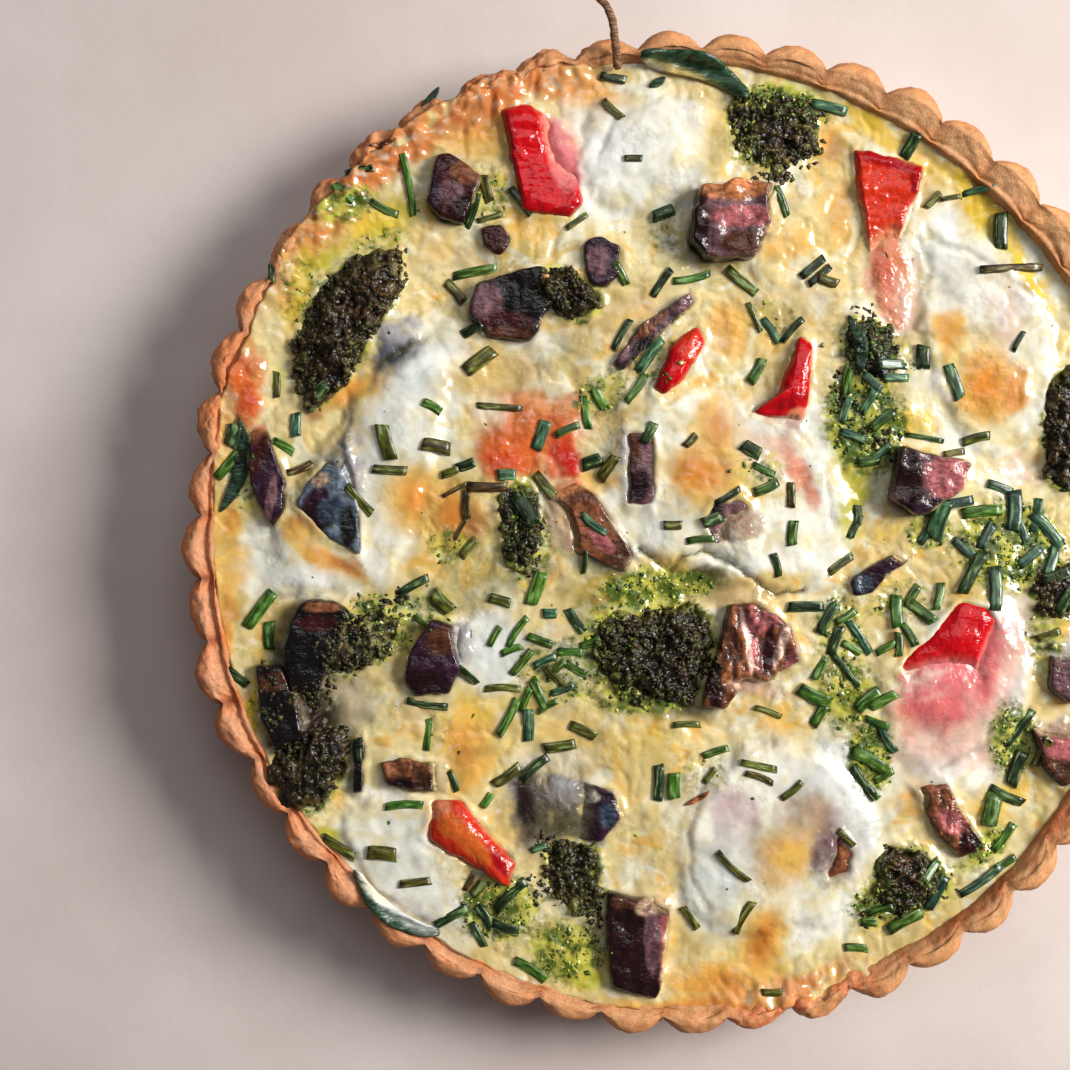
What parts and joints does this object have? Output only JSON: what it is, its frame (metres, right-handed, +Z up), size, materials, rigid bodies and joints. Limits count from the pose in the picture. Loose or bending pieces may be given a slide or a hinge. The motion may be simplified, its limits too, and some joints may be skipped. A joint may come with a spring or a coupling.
{
  "type": "pepper and feta quiche",
  "caption": "Round savoury tart in a fluted pastry case, filled with baked custard and topped with vegetable chunks, herb pesto, melted cheese, leaves and cut chives.",
  "frame": {"origin": "middle of the flat base, on the surface that the quiche stands on", "axes": "+Z up out of the filling, +X to the right and +Y away in the top view"},
  "size_m": [0.2499, 0.2595, 0.0381],
  "materials": {
    "pastry": "baked shortcrust pastry, golden with brown creases",
    "custard": "baked egg custard, softly glossy, with browned patches",
    "cheese": "melted white cheese, smooth and glossy",
    "pepper": "roast red pepper, wet and glossy",
    "aubergine": "roast aubergine, dark purple skin and reddish brown flesh",
    "pesto": "baked herb pesto, nearly black crumbs with green edges",
    "leaf": "wilted dark green leaf",
    "chives": "cut chives, green to olive",
    "stalk": "dried brown stalk"
  },
  "bodies": {
    "root": {"aubergine_01": "aubergine", "aubergine_02": "aubergine", "aubergine_03": "aubergine", "aubergine_04": "aubergine", "aubergine_05": "aubergine", "aubergine_06": "aubergine", "aubergine_07": "aubergine", "aubergine_08": "aubergine", "aubergine_09": "aubergine", "aubergine_10": "aubergine", "aubergine_11": "aubergine", "aubergine_12": "aubergine", "aubergine_13": "aubergine", "aubergine_14": "aubergine", "aubergine_15": "aubergine", "aubergine_16": "aubergine", "aubergine_17": "aubergine", "aubergine_18": "aubergine", "aubergine_19": "aubergine", "aubergine_20": "aubergine", "aubergine_21": "aubergine", "aubergine_22": "aubergine", "aubergine_23": "aubergine", "aubergine_24": "aubergine", "aubergine_25": "aubergine", "aubergine_26": "aubergine", "cheese_01": "cheese", "cheese_02": "cheese", "cheese_03": "cheese", "cheese_04": "cheese", "cheese_05": "cheese", "cheese_06": "cheese", "cheese_07": "cheese", "crust": "pastry", "custard": "custard", "leaf_01": "leaf", "leaf_02": "leaf", "pepper_01": "pepper", "pepper_02": "pepper", "pepper_03": "pepper", "pepper_04": "pepper", "pepper_05": "pepper", "pepper_06": "pepper", "pepper_07": "pepper", "pepper_08": "pepper", "pepper_09": "pepper", "pepper_10": "pepper", "pesto_01": "pesto", "pesto_02": "pesto", "pesto_03": "pesto", "pesto_04": "pesto", "pesto_05": "pesto", "pesto_06": "pesto", "pesto_07": "pesto", "pesto_08": "pesto", "pesto_09": "pesto", "pesto_10": "pesto", "pesto_11": "pesto", "pesto_12": "pesto", "stalk": "stalk"}
  },
  "joints": []
}
